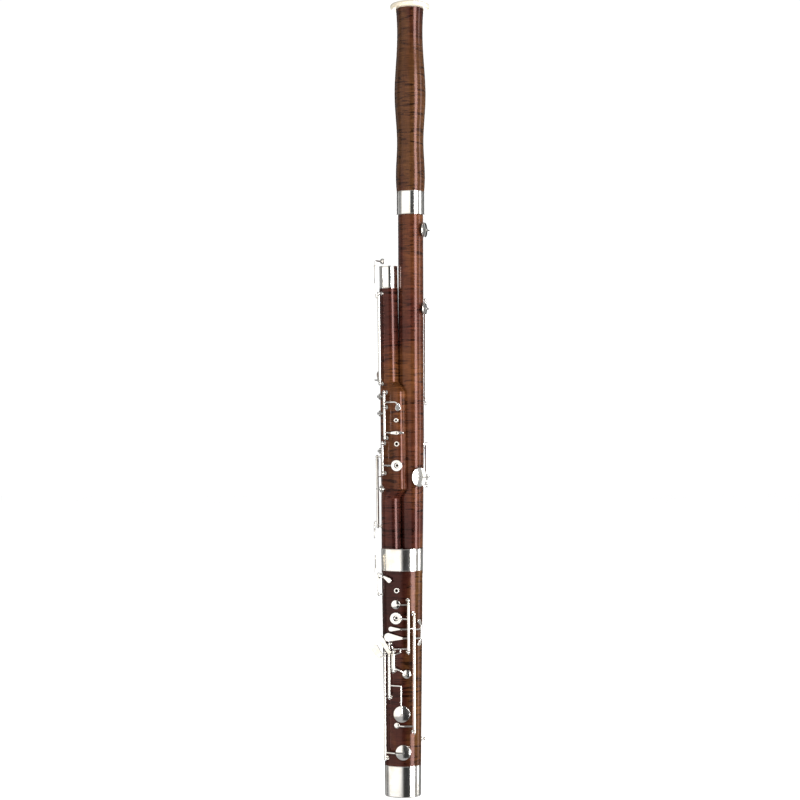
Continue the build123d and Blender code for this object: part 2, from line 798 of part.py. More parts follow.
LOW_D_LINE = round_hinge("bass", bass_skin, 112, 595.0, 524.0)
low_d_seat = Seat("bass", bass_skin, 30, 540.0, 15.4, 0)
make_key(
    "low_d_key",
    "bass",
    LOW_D_LINE,
    524.0 + BALL_STEP,
    595.0 - BALL_STEP,
    [
        along_top(low_d_seat, LOW_D_LINE.point(540), bass_skin(84, 540, 8)),
        arm(LOW_D_LINE.point(588), bass_skin(132, 588, 7), bass_skin(150, 588, 7)),
        touch(bass_skin(164, 598, 8), 6.5, bass_skin(150, 588, 7), 3.0, Vector(0.3, 0.95, 0)),
    ],
    seat=low_d_seat,
    stands="open",
)


# ---------------------------------------------------------------- posts and pivot rods
def post(foot, ball, axis):
    """A ball-topped post screwed into the wood, bored for a pivot rod."""
    up = (ball - foot).normalized()
    flange_foot = foot - up * POST_FLANGE_SINK
    with BuildPart() as piece:
        add(rod(flange_foot, flange_foot + up * POST_FLANGE_THICKNESS, POST_FLANGE_RADIUS))
        add(rod(foot - up * POST_SHANK_DEPTH, ball, POST_STEM_RADIUS))
        with Locations(ball):
            Sphere(POST_BALL_RADIUS)
        reach = axis.direction * POST_BALL_RADIUS * 1.5
        add(rod(ball - reach, ball + reach, POST_BORE_RADIUS), mode=Mode.SUBTRACT)
    return piece.part


def post_hole(foot, ball):
    """What a post takes out of the wood."""
    up = (ball - foot).normalized()
    with BuildPart() as piece:
        add(rod(foot - up * POST_SHANK_DEPTH, foot + up, POST_STEM_RADIUS))
        add(rod(foot - up * POST_FLANGE_SINK, foot + up * POST_FLANGE_RADIUS, POST_FLANGE_RADIUS))
    return piece.part


for section in ("boot", "wing", "bass"):
    save(Compound(children=[post(*place) for place in POSTS[section]]), f"{section}_posts")
    rods = []
    for line in PIVOTS[section]:
        end = POST_BALL_RADIUS + PIVOT_END
        rods.append(rod(line.point(line.low - end), line.point(line.high + end), PIVOT_RADIUS))
    save(Compound(children=rods), f"{section}_pivot_rods")


def section_cuts(section, bore_axis, holes):
    """The post holes, pad seats, tone holes and finger holes of one section."""
    cuts = [post_hole(foot, ball) for foot, ball, axis in POSTS[section]]
    for seat in SEATS[section]:
        inside = bore_axis(seat)
        cuts.append(rod(seat.middle, seat.above(6.0), seat.pad_radius + CUP_WALL + SEAT_MARGIN))
        cuts.append(rod(inside, seat.middle + (seat.middle - inside).normalized() * 3.0, seat.hole_radius))
    for hole in holes:
        cuts.extend(hole.cuts())
    return cuts


# ---------------------------------------------------------------- open finger holes and their liners
class FingerHole:
    """An open hole for a fingertip, lined with a metal tube."""

    def __init__(self, skin, place, height, liner_radius, inside):
        self.middle = skin(place, height)
        self.normal = (skin(place, height, 1.0) - self.middle).normalized()
        self.liner_radius = liner_radius
        self.inside = inside

    def liner(self):
        """The metal tube that stands a little proud of the wood."""
        low = self.middle - self.normal * LINER_DEPTH
        high = self.middle + self.normal * LINER_RISE
        with BuildPart() as piece:
            add(rod(low, high, self.liner_radius))
            fillet(piece.edges().sort_by(Axis(self.middle, self.normal))[-1], LINER_RISE / 2)
            add(rod(low, high, self.liner_radius - LINER_WALL), mode=Mode.SUBTRACT)
        return piece.part

    def cuts(self):
        """The liner's socket and the hole below it."""
        low = self.middle - self.normal * LINER_DEPTH
        return [
            rod(low, self.middle + self.normal * LINER_RISE * 4, self.liner_radius),
            rod(self.inside, low + (low - self.inside).normalized() * 0.2, self.liner_radius - LINER_WALL),
        ]


def wing_axis_point(height):
    """A point on the wing joint's bore axis."""
    return WING.from_local_coords(Vector(0, 0, height - BOOT_TOP))


BOOT_HOLES = [
    FingerHole(boot_front, -9.6, 349.6, 4.4, Vector(-BORE_X, 0, 344)),
    FingerHole(boot_front, -10.1, 303.5, RING_INNER_RADIUS - KEY_CLEARANCE, Vector(-BORE_X, 0, 300)),
]
WING_HOLES = [
    FingerHole(lobe_skin, -16, 636.0, 3.6, wing_axis_point(650)),
    FingerHole(lobe_skin, -14, 596.4, 4.3, wing_axis_point(606)),
    FingerHole(lobe_skin, -13, 560.3, RING_INNER_RADIUS - KEY_CLEARANCE, wing_axis_point(566)),
]
save(Compound(children=[hole.liner() for hole in BOOT_HOLES]), "boot_hole_liners")
save(Compound(children=[hole.liner() for hole in WING_HOLES]), "wing_hole_liners")


# ---------------------------------------------------------------- the boot
def oval(low, high, inset=0.0):
    """A stretch of the boot's tapering oval, drawn in by inset all round."""
    with BuildPart() as piece:
        for height in (low, high):
            half_width = boot_half_width(height)
            with BuildSketch(Plane.XY.offset(height)):
                Ellipse(half_width - inset, half_width * BOOT_DEPTH_RATIO - inset)
        loft()
    return piece.part


def tapered_bore(plane, low, low_radius, high, high_radius):
    """The space inside a tapering bore."""
    with BuildPart() as piece:
        for height, radius in ((low, low_radius), (high, high_radius)):
            with BuildSketch(plane.offset(height)):
                Circle(radius)
        loft()
    return piece.part


WING_SOCKET_RADIUS = WING_TENON_RADIUS + WRAP_THICKNESS + SOCKET_CLEARANCE
BASS_SOCKET_RADIUS = BASS_TENON_RADIUS + WRAP_THICKNESS + SOCKET_CLEARANCE
BELL_SOCKET_RADIUS = BELL_TENON_RADIUS + WRAP_THICKNESS + SOCKET_CLEARANCE
SMALL_SIDE = Plane(origin=(-BORE_X, 0, 0), z_dir=(0, 0, 1))
WING_SOCKET_FOOT = BOOT_TOP - WING_TENON_LENGTH - SHOULDER_GAP
BASS_SOCKET_FOOT = BOOT_TOP - BASS_TENON_LENGTH - SHOULDER_GAP
EYE_MIDDLE = boot_rear(0, EYE_HEIGHT, EYE_STANDOFF + EYE_HOLE_RADIUS + EYE_WALL)

with BuildPart() as boot_body:
    add(oval(BOOT_WOOD_BOTTOM, BOOT_CAP_HEIGHT + SHOULDER_GAP, BAND_WALL + SOCKET_CLEARANCE))
    add(oval(BOOT_CAP_HEIGHT + SHOULDER_GAP, BOOT_FERRULE_FOOT))
    add(oval(BOOT_FERRULE_FOOT, BOOT_TOP, BAND_WALL))
    add(
        [
            tapered_bore(
                SMALL_SIDE,
                BOOT_WOOD_BOTTOM,
                SMALL_BORE_BOTTOM_RADIUS,
                WING_SOCKET_FOOT,
                SMALL_BORE_TOP_RADIUS,
            ),
            tapered_bore(BASS, BOOT_WOOD_BOTTOM, U_TUBE_BORE_RADIUS, BASS_SOCKET_FOOT, LARGE_BORE_TOP_RADIUS),
            rod(Vector(BORE_X, 0, BASS_SOCKET_FOOT), Vector(BORE_X, 0, BOOT_TOP + 1), BASS_SOCKET_RADIUS),
            rod(wing_axis_point(WING_SOCKET_FOOT), wing_axis_point(BOOT_TOP + 1), WING_SOCKET_RADIUS),
        ],
        mode=Mode.SUBTRACT,
    )
    for cut in section_cuts("boot", lambda seat: Vector(seat.bore_x, 0, seat.middle.Z), BOOT_HOLES):
        add(cut, mode=Mode.SUBTRACT)
    for side in (-1, 1):
        foot = Vector(0, side * U_TUBE_SCREW_OFFSET, BOOT_WOOD_BOTTOM - 1)
        add(rod(foot, foot + Vector(0, 0, U_TUBE_SCREW_LENGTH + 1), U_TUBE_SCREW_RADIUS), mode=Mode.SUBTRACT)
save(boot_body.part, "boot_body")

with BuildPart() as boot_ferrule:
    add(oval(BOOT_FERRULE_FOOT, BOOT_TOP))
    add(oval(BOOT_FERRULE_FOOT, BOOT_TOP, BAND_WALL), mode=Mode.SUBTRACT)
save(boot_ferrule.part, "boot_ferrule")

with BuildPart() as boot_cap:
    add(oval(0, BOOT_CAP_HEIGHT))
    fillet(boot_cap.edges().sort_by(Axis.Z)[0], CAP_EDGE_FILLET)
    add(oval(CAP_FLOOR, BOOT_CAP_HEIGHT, BAND_WALL), mode=Mode.SUBTRACT)
save(boot_cap.part, "boot_cap")

GASKET_FOOT = BOOT_WOOD_BOTTOM - GASKET_THICKNESS
PLATE_FOOT = GASKET_FOOT - U_TUBE_PLATE


def bore_circles(radius):
    """One circle on each bore's axis."""
    with Locations((-BORE_X, 0), (BORE_X, 0)):
        Circle(radius, mode=Mode.SUBTRACT)


def flange(low, thickness):
    """An oval plate under the boot's wood, open at both bores and drilled for its screws."""
    half_width = boot_half_width(low)
    inset = BAND_WALL + CAP_ROOM
    with BuildPart() as piece:
        with BuildSketch(Plane.XY.offset(low)):
            Ellipse(half_width - inset, half_width * BOOT_DEPTH_RATIO - inset)
            bore_circles(U_TUBE_BORE_RADIUS)
            with Locations((0, -U_TUBE_SCREW_OFFSET), (0, U_TUBE_SCREW_OFFSET)):
                Circle(U_TUBE_SCREW_RADIUS, mode=Mode.SUBTRACT)
        extrude(amount=thickness)
    return piece.part


save(flange(GASKET_FOOT, GASKET_THICKNESS), "u_tube_gasket")

with BuildPart() as u_tube:
    add(flange(PLATE_FOOT, U_TUBE_PLATE))
    with BuildSketch(Plane.XY.offset(PLATE_FOOT)):
        with Locations((BORE_X, 0)):
            Circle(U_TUBE_BORE_RADIUS + U_TUBE_WALL)
            Circle(U_TUBE_BORE_RADIUS, mode=Mode.SUBTRACT)
    revolve(axis=Axis((0, 0, PLATE_FOOT), (0, 1, 0)), revolution_arc=180)
save(u_tube.part, "u_tube")


def u_tube_screw(y):
    """A cheese-headed screw through the plate into the wood."""
    head = Vector(0, y, PLATE_FOOT - U_TUBE_SCREW_HEAD)
    with BuildPart() as piece:
        add(rod(head, Vector(0, y, PLATE_FOOT), U_TUBE_SCREW_RADIUS * 1.8))
        add(rod(head, Vector(0, y, BOOT_WOOD_BOTTOM + U_TUBE_SCREW_LENGTH), U_TUBE_SCREW_RADIUS))
        with BuildSketch(Plane(origin=head, z_dir=(0, 0, 1))):
            Rectangle(U_TUBE_SCREW_RADIUS * 4, SLOT_WIDTH)
        extrude(amount=U_TUBE_SCREW_HEAD / 2, mode=Mode.SUBTRACT)
    return piece.part


screws = [u_tube_screw(y) for y in (-U_TUBE_SCREW_OFFSET, U_TUBE_SCREW_OFFSET)]
save(Compound(children=screws), "u_tube_screws")

with BuildPart() as strap_eye:
    base = boot_rear(0, EYE_HEIGHT)
    with BuildSketch(Plane(origin=EYE_MIDDLE, x_dir=(0, 1, 0), z_dir=(1, 0, 0))):
        Circle(EYE_HOLE_RADIUS + EYE_WALL)
        with Locations((base.Y - EYE_MIDDLE.Y, 0)):
            Circle(EYE_HOLE_RADIUS + EYE_WALL / 2)
        make_hull()
        Circle(EYE_HOLE_RADIUS, mode=Mode.SUBTRACT)
    extrude(amount=EYE_THICKNESS / 2, both=True)
    add(rod(base + Vector(0, -1, 0), base + Vector(0, EYE_PLATE_THICKNESS, 0), EYE_PLATE_RADIUS))
    add(boot_body.part, mode=Mode.SUBTRACT)
save(strap_eye.part.solids().sort_by(SortBy.VOLUME)[-1], "strap_eye")

# ---------------------------------------------------------------- the wing joint
BASS_ROOM = rod(
    Vector(BORE_X, 0, BOOT_TOP - WING_TENON_LENGTH),
    Vector(BORE_X, 0, BELL_FOOT),
    BASS_RADIUS + NEST_CLEARANCE,
)


def lobe_block(low, high, narrow_low, narrow_high):
    """A stretch of the lobe, narrowed at either end to the round part's own width."""
    with BuildPart() as piece:
        for height, narrow in ((low, narrow_low), (high, narrow_high)):
            with BuildSketch(WING.offset(height)):
                Circle(wing_radius(height))
                with Locations((LOBE_X * (1 - narrow), LOBE_Y * (1 - narrow))):
                    Circle(LOBE_RADIUS)
                make_hull()
        loft(ruled=True)
    return piece.part


with BuildPart() as wing_body:
    add(tapered_bore(WING, SHOULDER_GAP, wing_radius(0), WING_FERRULE_FOOT, wing_radius(WING_FERRULE_FOOT)))
    add(tapered_bore(WING, -WING_TENON_LENGTH, WING_TENON_RADIUS, SHOULDER_GAP, WING_TENON_RADIUS))
    add(tapered_bore(WING, WING_FERRULE_FOOT, WING_NECK_RADIUS, WING_LENGTH, WING_NECK_RADIUS))
    add(lobe_block(LOBE_BOTTOM, LOBE_TOP, 0, 0))
    for low, high, start, end in (
        (LOBE_BOTTOM - LOBE_SLOPE, LOBE_BOTTOM, LOBE_NARROW, 0),
        (LOBE_TOP, LOBE_TOP + LOBE_SLOPE, 0, LOBE_NARROW),
    ):
        add(lobe_block(low, high, start, end))
    add(BASS_ROOM, mode=Mode.SUBTRACT)
    add(
        tapered_bore(WING, -WING_TENON_LENGTH, WING_BORE_BOTTOM_RADIUS, WING_LENGTH, WING_BORE_TOP_RADIUS),
        mode=Mode.SUBTRACT,
    )
    add(
        rod(
            wing_axis_point(BOOT_TOP + WING_LENGTH - BOCAL_SOCKET_DEPTH),
            wing_axis_point(BOOT_TOP + WING_LENGTH + 1),
            BOCAL_SOCKET_RADIUS + BOCAL_SOCKET_WALL,
        ),
        mode=Mode.SUBTRACT,
    )
    for cut in section_cuts("wing", lambda seat: wing_axis_point(seat.middle.Z), WING_HOLES):
        add(cut, mode=Mode.SUBTRACT)
save(wing_body.part, "wing_body")


def band(plane, low, high, outer_radius, inner_radius):
    """A plain round band."""
    with BuildPart() as piece:
        with BuildSketch(plane.offset(low)):
            Circle(outer_radius)
            Circle(inner_radius, mode=Mode.SUBTRACT)
        extrude(amount=high - low)
    return piece.part


wing_ferrule = band(WING, WING_FERRULE_FOOT, WING_LENGTH, WING_FERRULE_RADIUS, WING_NECK_RADIUS)
save(wing_ferrule, "wing_ferrule")
bocal_socket = band(
    WING,
    WING_LENGTH - BOCAL_SOCKET_DEPTH,
    WING_LENGTH,
    BOCAL_SOCKET_RADIUS + BOCAL_SOCKET_WALL,
    BOCAL_SOCKET_RADIUS,
)
save(bocal_socket, "bocal_socket")
wing_wrap = band(
    WING,
    WRAP_MARGIN - WING_TENON_LENGTH,
    -WRAP_MARGIN,
    WING_TENON_RADIUS + WRAP_THICKNESS,
    WING_TENON_RADIUS,
)
save(wing_wrap, "wing_tenon_wrap")

# ---------------------------------------------------------------- the bass joint
with BuildPart() as bass_body:
    add(tapered_bore(BASS, BOOT_TOP + SHOULDER_GAP, BASS_FOOT_RADIUS, BOOT_TOP + BASS_FLARE, BASS_RADIUS))
    for low, high, radius in (
        (BOOT_TOP + BASS_FLARE, BELL_FOOT - SHOULDER_GAP, BASS_RADIUS),
        (BOOT_TOP - BASS_TENON_LENGTH, BOOT_TOP + 1, BASS_TENON_RADIUS),
        (BELL_FOOT - 1, BELL_FOOT + BELL_TENON_LENGTH, BELL_TENON_RADIUS),
    ):
        add(rod(Vector(BORE_X, 0, low), Vector(BORE_X, 0, high), radius))
    add(
        tapered_bore(
            BASS,
            BOOT_TOP - BASS_TENON_LENGTH,
            BASS_BORE_BOTTOM_RADIUS,
            BELL_FOOT + BELL_TENON_LENGTH,
            BASS_BORE_TOP_RADIUS,
        ),
        mode=Mode.SUBTRACT,
    )
    for cut in section_cuts("bass", lambda seat: Vector(BORE_X, 0, seat.middle.Z), []):
        add(cut, mode=Mode.SUBTRACT)
save(bass_body.part, "bass_body")
bass_wraps = [
    band(
        BASS,
        BOOT_TOP - BASS_TENON_LENGTH + WRAP_MARGIN,
        BOOT_TOP - WRAP_MARGIN,
        BASS_TENON_RADIUS + WRAP_THICKNESS,
        BASS_TENON_RADIUS,
    ),
    band(
        BASS,
        BELL_FOOT + WRAP_MARGIN,
        BELL_FOOT + BELL_TENON_LENGTH - WRAP_MARGIN,
        BELL_TENON_RADIUS + WRAP_THICKNESS,
        BELL_TENON_RADIUS,
    ),
]
save(Compound(children=bass_wraps), "bass_tenon_wraps")

# ---------------------------------------------------------------- the bell
BELL_BAND_TOP = BELL_FOOT + BELL_FERRULE_HEIGHT
BELL_SOCKET_TOP = BELL_FOOT + BELL_TENON_LENGTH + SHOULDER_GAP
with BuildPart() as bell_body:
    with BuildSketch(Plane(origin=(BORE_X, 0, 0), x_dir=(1, 0, 0), z_dir=(0, -1, 0))):
        with BuildLine():
            Polyline(
                (BELL_BORE_TOP_RADIUS, BELL_SPIGOT_TOP),
                (BELL_BORE_BOTTOM_RADIUS, BELL_SOCKET_TOP),
                (BELL_SOCKET_RADIUS, BELL_SOCKET_TOP),
                (BELL_SOCKET_RADIUS, BELL_FOOT),
                (BELL_FERRULE_BORE, BELL_FOOT),
                (BELL_FERRULE_BORE, BELL_BAND_TOP),
                (BELL_FERRULE_RADIUS, BELL_BAND_TOP),
            )
            Spline(
                (BELL_FERRULE_RADIUS, BELL_BAND_TOP),
                (BELL_LOW_BULGE_RADIUS, BELL_FOOT + BELL_LOW_BULGE_RISE),
                (BELL_LOW_WAIST_RADIUS, BELL_FOOT + BELL_LOW_WAIST_RISE),
                (BELL_HIGH_BULGE_RADIUS, BELL_RING_FOOT - BELL_HIGH_BULGE_DROP),
                (BELL_HIGH_WAIST_RADIUS, BELL_RING_FOOT - BELL_HIGH_WAIST_DROP),
                (BELL_NECK_RADIUS, BELL_RING_FOOT),
            )
            Polyline(
                (BELL_NECK_RADIUS, BELL_RING_FOOT),
                (BELL_NECK_RADIUS - BELL_SPIGOT_STEP, BELL_RING_FOOT),
                (BELL_NECK_RADIUS - BELL_SPIGOT_STEP, BELL_SPIGOT_TOP),
                (BELL_BORE_TOP_RADIUS, BELL_SPIGOT_TOP),
            )
        make_face()
    revolve(axis=Axis((BORE_X, 0, 0), (0, 0, 1)))
save(bell_body.part, "bell_body")
save(band(BASS, BELL_FOOT, BELL_BAND_TOP, BELL_FERRULE_RADIUS, BELL_FERRULE_BORE), "bell_ferrule")

with BuildPart() as bell_ring:
    with BuildSketch(BASS.offset(BELL_RING_FOOT)):
        Circle(BELL_RING_RADIUS)
    extrude(amount=BELL_RING_THICKNESS)
    fillet(bell_ring.edges(), BELL_RING_ROUND)
    add(
        rod(Vector(BORE_X, 0, BELL_RING_FOOT - 1), Vector(BORE_X, 0, TOTAL_HEIGHT + 1), BELL_BORE_TOP_RADIUS),
        mode=Mode.SUBTRACT,
    )
    spigot_radius = BELL_NECK_RADIUS - BELL_SPIGOT_STEP
    add(
        rod(Vector(BORE_X, 0, BELL_RING_FOOT - 1), Vector(BORE_X, 0, BELL_SPIGOT_TOP), spigot_radius),
        mode=Mode.SUBTRACT,
    )
save(bell_ring.part, "bell_ring")
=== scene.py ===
import json
from math import cos, pi, radians, sin

import bmesh
import bpy
from mathutils import Matrix, Vector

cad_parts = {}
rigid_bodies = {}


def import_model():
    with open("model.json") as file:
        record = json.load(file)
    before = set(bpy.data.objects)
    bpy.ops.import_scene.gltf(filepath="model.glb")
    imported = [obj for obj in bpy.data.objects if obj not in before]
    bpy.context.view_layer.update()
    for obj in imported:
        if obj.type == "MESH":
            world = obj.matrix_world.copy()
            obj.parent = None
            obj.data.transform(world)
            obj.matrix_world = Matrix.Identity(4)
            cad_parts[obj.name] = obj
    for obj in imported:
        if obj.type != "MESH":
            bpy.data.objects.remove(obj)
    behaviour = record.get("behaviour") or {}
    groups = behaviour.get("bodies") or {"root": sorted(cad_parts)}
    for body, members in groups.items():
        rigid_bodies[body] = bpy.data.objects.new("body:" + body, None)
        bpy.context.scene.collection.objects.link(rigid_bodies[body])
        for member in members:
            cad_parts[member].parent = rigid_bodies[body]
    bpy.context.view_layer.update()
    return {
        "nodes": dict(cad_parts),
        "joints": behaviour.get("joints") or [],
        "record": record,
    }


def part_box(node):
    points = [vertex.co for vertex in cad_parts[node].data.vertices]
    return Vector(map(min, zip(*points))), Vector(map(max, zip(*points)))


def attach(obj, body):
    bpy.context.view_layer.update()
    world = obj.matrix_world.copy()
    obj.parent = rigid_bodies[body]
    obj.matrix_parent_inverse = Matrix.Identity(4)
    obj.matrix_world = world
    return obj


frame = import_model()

NODES = frame["nodes"]
RECORD = frame["record"]
SCENE = bpy.context.scene


# ---------------------------------------------------------------- node-building helpers
def new_material(name):
    """An empty node material with a Principled shader; returns the material, its tree and the shader."""
    material = bpy.data.materials.new(name)
    material.use_nodes = True
    tree = material.node_tree
    tree.nodes.clear()
    output = tree.nodes.new("ShaderNodeOutputMaterial")
    shader = tree.nodes.new("ShaderNodeBsdfPrincipled")
    tree.links.new(shader.outputs["BSDF"], output.inputs["Surface"])
    return material, tree, shader


def coordinates(tree, scale=(1, 1, 1), turn=(0, 0, 0)):
    """Object coordinates in metres, stretched by scale."""
    source = tree.nodes.new("ShaderNodeTexCoord")
    mapping = tree.nodes.new("ShaderNodeMapping")
    mapping.inputs["Scale"].default_value = scale
    mapping.inputs["Rotation"].default_value = turn
    tree.links.new(source.outputs["Object"], mapping.inputs["Vector"])
    return mapping.outputs["Vector"]


def noise(tree, vector, scale, detail=4.0, roughness=0.55, distortion=0.0):
    """A noise texture's value."""
    node = tree.nodes.new("ShaderNodeTexNoise")
    node.inputs["Scale"].default_value = scale
    node.inputs["Detail"].default_value = detail
    node.inputs["Roughness"].default_value = roughness
    node.inputs["Distortion"].default_value = distortion
    tree.links.new(vector, node.inputs["Vector"])
    return node.outputs["Fac"]


def ramp(tree, value, stops):
    """A colour ramp with (position, colour) stops."""
    node = tree.nodes.new("ShaderNodeValToRGB")
    elements = node.color_ramp.elements
    while len(elements) < len(stops):
        elements.new(0.5)
    for element, (position, colour) in zip(elements, stops):
        element.position = position
        element.color = (*colour, 1.0) if len(colour) == 3 else colour
    tree.links.new(value, node.inputs["Fac"])
    return node.outputs["Color"]


def grey(level):
    """A grey for a ramp."""
    return (level, level, level)


def mix(tree, factor, first, second, blend="MIX"):
    """Two colours mixed; factor, first and second are sockets or plain values."""
    node = tree.nodes.new("ShaderNodeMix")
    node.data_type = "RGBA"
    node.blend_type = blend
    for name, value in (("Factor", factor), ("A", first), ("B", second)):
        socket = [s for s in node.inputs if s.name == name and s.enabled][0]
        if isinstance(value, bpy.types.NodeSocket):
            tree.links.new(value, socket)
        elif name == "Factor":
            socket.default_value = value
        else:
            socket.default_value = (*value, 1.0)
    return [s for s in node.outputs if s.enabled][0]


def spread(tree, value, low, high):
    """A value moved from 0..1 to low..high."""
    node = tree.nodes.new("ShaderNodeMapRange")
    node.inputs["To Min"].default_value = low
    node.inputs["To Max"].default_value = high
    tree.links.new(value, node.inputs["Value"])
    return node.outputs["Result"]


def bump(tree, shader, height, strength, distance):
    """Surface relief from a height value."""
    node = tree.nodes.new("ShaderNodeBump")
    node.inputs["Strength"].default_value = strength
    node.inputs["Distance"].default_value = distance
    tree.links.new(height, node.inputs["Height"])
    tree.links.new(node.outputs["Normal"], shader.inputs["Normal"])


def corner_wear(tree, radius):
    """1 where an edge is sharp, 0 on flats, from the difference between flat and bevelled normals."""
    bevel = tree.nodes.new("ShaderNodeBevel")
    bevel.samples = 4
    bevel.inputs["Radius"].default_value = radius
    geometry = tree.nodes.new("ShaderNodeNewGeometry")
    dot = tree.nodes.new("ShaderNodeVectorMath")
    dot.operation = "DOT_PRODUCT"
    tree.links.new(bevel.outputs["Normal"], dot.inputs[0])
    tree.links.new(geometry.outputs["Normal"], dot.inputs[1])
    return spread(tree, dot.outputs["Value"], 1.0, 0.0)


# ---------------------------------------------------------------- materials
def stained_maple(name, depth, amber):
    """Curly maple under a red-brown stain and gloss lacquer, with its figure across the grain."""
    material, tree, shader = new_material(name)
    broad = noise(tree, coordinates(tree, (9, 9, 3.2)), 1.0, detail=3, distortion=0.6)
    base = ramp(
        tree,
        broad,
        [(0.34, tuple(c * depth for c in (0.034, 0.0085, 0.0065))),
         (0.46, tuple(c * depth for c in (0.075, 0.0180, 0.0100))),
         (0.58, tuple(c * depth for c in amber)),
         (0.70, tuple(c * depth for c in (0.058, 0.0140, 0.0080)))],
    )
    flame = noise(tree, coordinates(tree, (26, 26, 190)), 1.0, detail=2, distortion=1.4)
    flame_tone = ramp(
        tree,
        flame,
        [(0.37, grey(0.10)), (0.42, grey(0.80)), (0.56, grey(1.05)), (0.68, grey(1.5))],
    )
    figured = mix(tree, 0.85, base, flame_tone, "MULTIPLY")
    ripple = noise(tree, coordinates(tree, (60, 60, 620)), 1.0, detail=3, distortion=0.8)
    ripple_tone = ramp(tree, ripple, [(0.40, grey(0.72)), (0.60, grey(1.1))])
    rippled = mix(tree, 0.55, figured, ripple_tone, "MULTIPLY")
    grain = noise(tree, coordinates(tree, (1500, 1500, 26)), 1.0, detail=3, roughness=0.65)
    grain_tone = ramp(tree, grain, [(0.34, grey(0.55)), (0.50, grey(1.0)), (0.70, grey(1.12))])
    grained = mix(tree, 0.6, rippled, grain_tone, "MULTIPLY")
    fleck = noise(tree, coordinates(tree, (420, 420, 1500)), 1.0, detail=2)
    fleck_tone = ramp(tree, fleck, [(0.29, grey(0.25)), (0.36, grey(1.0))])
    coloured = mix(tree, 0.7, grained, fleck_tone, "MULTIPLY")
    worn = mix(tree, corner_wear(tree, 0.0012), coloured, (0.13, 0.042, 0.014))
    tree.links.new(worn, shader.inputs["Base Color"])
    tree.links.new(spread(tree, grain, 0.14, 0.26), shader.inputs["Roughness"])
    shader.inputs["Specular IOR Level"].default_value = 0.34
    shader.inputs["Specular Tint"].default_value = (1.0, 0.50, 0.45, 1.0)
    shader.inputs["Coat Weight"].default_value = 0.15
    shader.inputs["Coat Roughness"].default_value = 0.08
    shader.inputs["Coat IOR"].default_value = 1.4
    bump(tree, shader, grain, 0.10, 0.00012)
    return material


def polished_metal(name, colour, dark, roughness, scratch):
    """Polished metal with faint wiping scratches, a little tarnish and brighter worn edges."""
    material, tree, shader = new_material(name)
    cloud = noise(tree, coordinates(tree, (38, 38, 38)), 1.0, detail=5, roughness=0.6)
    tarnish = ramp(tree, cloud, [(0.44, grey(0.0)), (0.78, grey(1.0))])
    body = mix(tree, tarnish, colour, dark)
    polished = mix(tree, corner_wear(tree, 0.0006), body, tuple(min(1.0, c * 1.06) for c in colour))
    tree.links.new(polished, shader.inputs["Base Color"])
    shader.inputs["Metallic"].default_value = 1.0
    lines = noise(tree, coordinates(tree, (260, 260, 3200), (0.5, 0.3, 0.0)), 1.0, detail=4, roughness=0.7)
    tree.links.new(spread(tree, lines, roughness * 0.7, roughness * 1.6), shader.inputs["Roughness"])
    bump(tree, shader, lines, scratch, 0.00003)
    return material


def ivory():
    """Polished ivory-coloured resin with faint growth lines."""
    material, tree, shader = new_material("ivory_ring")
    lines = noise(tree, coordinates(tree, (40, 40, 900)), 1.0, detail=5, distortion=1.2)
    tone = ramp(
        tree,
        lines,
        [(0.3, (0.62, 0.52, 0.37)), (0.5, (0.76, 0.69, 0.55)), (0.7, (0.80, 0.75, 0.64))],
    )
    tree.links.new(tone, shader.inputs["Base Color"])
    tree.links.new(spread(tree, lines, 0.18, 0.32), shader.inputs["Roughness"])
    shader.inputs["Subsurface Weight"].default_value = 0.15
    shader.inputs["Subsurface Radius"].default_value = (0.004, 0.003, 0.002)
    shader.inputs["Coat Weight"].default_value = 0.4
    shader.inputs["Coat Roughness"].default_value = 0.08
    bump(tree, shader, lines, 0.05, 0.0001)
    return material


def pad_leather():
    """Thin kid leather over felt, with pores and a little soiling."""
    material, tree, shader = new_material("pad_leather")
    pores = tree.nodes.new("ShaderNodeTexVoronoi")
    pores.inputs["Scale"].default_value = 1.0
    tree.links.new(coordinates(tree, (2600, 2600, 2600)), pores.inputs["Vector"])
    soil = noise(tree, coordinates(tree, (240, 240, 240)), 1.0, detail=4)
    tone = ramp(
        tree,
        soil,
        [(0.35, (0.52, 0.42, 0.30)), (0.55, (0.74, 0.66, 0.54)), (0.75, (0.82, 0.76, 0.66))],
    )
    tree.links.new(tone, shader.inputs["Base Color"])
    tree.links.new(spread(tree, soil, 0.62, 0.82), shader.inputs["Roughness"])
    shader.inputs["Sheen Weight"].default_value = 0.2
    bump(tree, shader, pores.outputs["Distance"], 0.35, 0.00012)
    return material


def tenon_thread():
    """Waxed red thread wound round a tenon."""
    material, tree, shader = new_material("tenon_thread")
    turns = tree.nodes.new("ShaderNodeTexWave")
    turns.bands_direction = "Z"
    turns.inputs["Scale"].default_value = 450.0
    turns.inputs["Distortion"].default_value = 0.8
    tree.links.new(coordinates(tree), turns.inputs["Vector"])
    tone = ramp(tree, turns.outputs["Fac"], [(0.0, (0.16, 0.018, 0.014)), (0.6, (0.44, 0.055, 0.035))])
    fibre = noise(tree, coordinates(tree, (3000, 3000, 3000)), 1.0, detail=3)
    tree.links.new(mix(tree, fibre, tone, (0.30, 0.05, 0.03)), shader.inputs["Base Color"])
    tree.links.new(spread(tree, fibre, 0.45, 0.75), shader.inputs["Roughness"])
    shader.inputs["Sheen Weight"].default_value = 0.3
    bump(tree, shader, turns.outputs["Fac"], 0.6, 0.0004)
    return material


